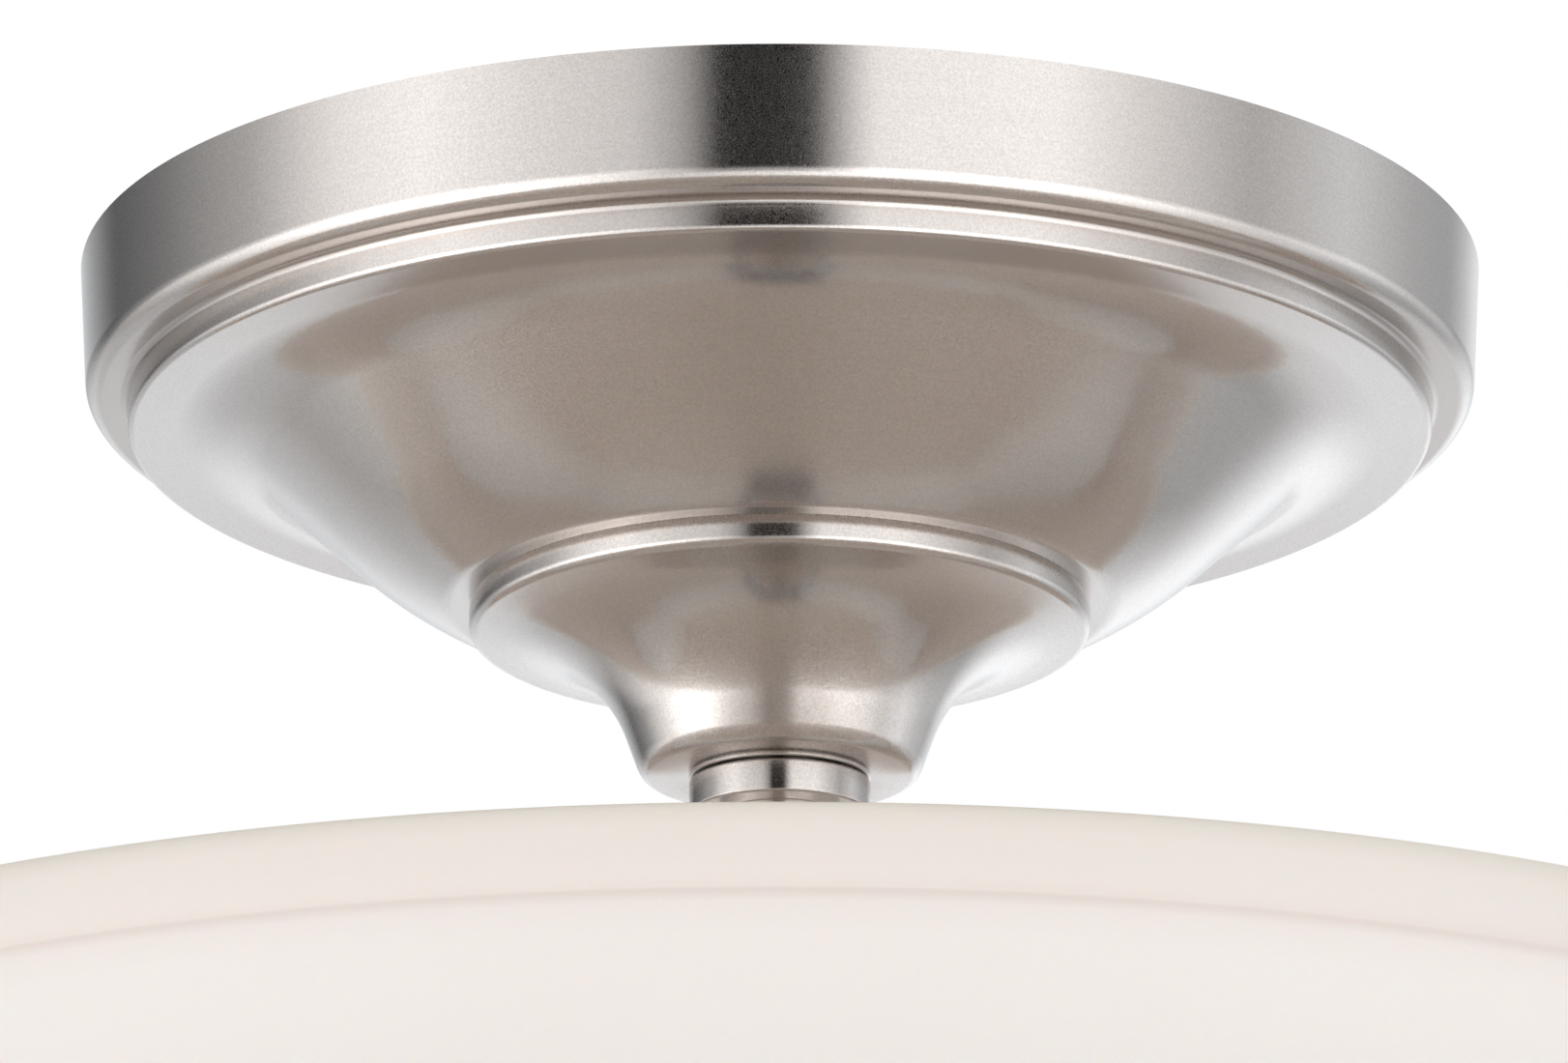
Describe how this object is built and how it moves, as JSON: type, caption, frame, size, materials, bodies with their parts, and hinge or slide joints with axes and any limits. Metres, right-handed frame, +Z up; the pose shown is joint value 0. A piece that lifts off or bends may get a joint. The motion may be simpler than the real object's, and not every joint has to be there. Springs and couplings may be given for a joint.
{
  "type": "semi-flush ceiling light",
  "caption": "Semi-flush ceiling light: a stepped satin metal canopy and trumpet neck over an opal glass bowl on a centre stem, with lamps inside.",
  "frame": {"origin": "centre of the crossbar's upper face and of the canopy's upper rim, on the ceiling plane", "axes": "+Z up out of the ceiling, square to the crossbar; +X along the crossbar and the two lamps; -Y towards the viewer"},
  "size_m": [0.2794, 0.2794, 0.2397],
  "materials": {
    "satin_nickel": "brushed satin nickel plate with fine hoop-wise grain",
    "zinc_steel": "bright zinc plate",
    "brass": "plain machined brass",
    "nickel_shell": "thin rolled metal shell",
    "porcelain": "glazed white porcelain",
    "opal_glass": "satin opal glass, etched outside",
    "bulb_glass": "frosted lamp glass",
    "green_screw": "green coating",
    "black_lead": "black wire insulation",
    "white_lead": "white wire insulation",
    "green_lead": "green wire insulation",
    "wire_nut_orange": "moulded plastic",
    "cushion_rubber": "soft translucent rubber"
  },
  "bodies": {
    "fixture": {"centre_contact_left": "brass", "centre_contact_right": "brass", "crossbar": "zinc_steel", "crossbar_nipple": "zinc_steel", "ground_lead": "green_lead", "ground_screw": "green_screw", "ground_wire_nut": "wire_nut_orange", "hickey": "brass", "holder_screws": "zinc_steel", "lamp_bracket": "zinc_steel", "lampholder_left": "porcelain", "lampholder_right": "porcelain", "live_leads": "black_lead", "live_wire_nut": "wire_nut_orange", "neutral_leads": "white_lead", "neutral_wire_nut": "wire_nut_orange", "nipple_locknut": "zinc_steel", "rod_nuts": "zinc_steel", "screw_shell_left": "nickel_shell", "screw_shell_right": "nickel_shell", "shade_rod": "zinc_steel", "stem_locknut": "zinc_steel", "stem_nipple": "zinc_steel", "stem_tube": "satin_nickel", "stop_nut": "zinc_steel", "upper_cushion": "cushion_rubber", "upper_washer": "zinc_steel"},
    "canopy": {"canopy_pan": "satin_nickel", "neck_cup": "satin_nickel", "neck_retainer": "zinc_steel"},
    "collar": {"lock_collar": "satin_nickel"},
    "shade": {"glass_shade": "opal_glass", "lower_cushion": "cushion_rubber", "lower_cap": "satin_nickel"},
    "finial": {"finial": "satin_nickel"},
    "lamp_left": {"bulb_glass_left": "bulb_glass", "bulb_cap_left": "nickel_shell", "bulb_tip_left": "brass"},
    "lamp_right": {"bulb_glass_right": "bulb_glass", "bulb_cap_right": "nickel_shell", "bulb_tip_right": "brass"}
  },
  "joints": [
    {"name": "canopy_drop", "type": "slide", "parent": "fixture", "child": "canopy", "axis": [0, 0, -1], "range_m": [0, 0.03]},
    {"name": "collar_turn", "type": "hinge", "parent": "canopy", "child": "collar", "pos_m": [0, 0, -0.0577], "axis": [0, 0, 1], "continuous": true},
    {"name": "shade_drop", "type": "slide", "parent": "fixture", "child": "shade", "axis": [0, 0, -1], "range_m": [0, 0.14]},
    {"name": "finial_turn", "type": "hinge", "parent": "shade", "child": "finial", "pos_m": [0, 0, -0.228], "axis": [0, 0, 1], "continuous": true},
    {"name": "lamp_left_turn", "type": "hinge", "parent": "fixture", "child": "lamp_left", "pos_m": [-0.06, 0, -0.128], "axis": [1, 0, 0], "continuous": true},
    {"name": "lamp_right_turn", "type": "hinge", "parent": "fixture", "child": "lamp_right", "pos_m": [0.06, 0, -0.128], "axis": [1, 0, 0], "continuous": true}
  ]
}
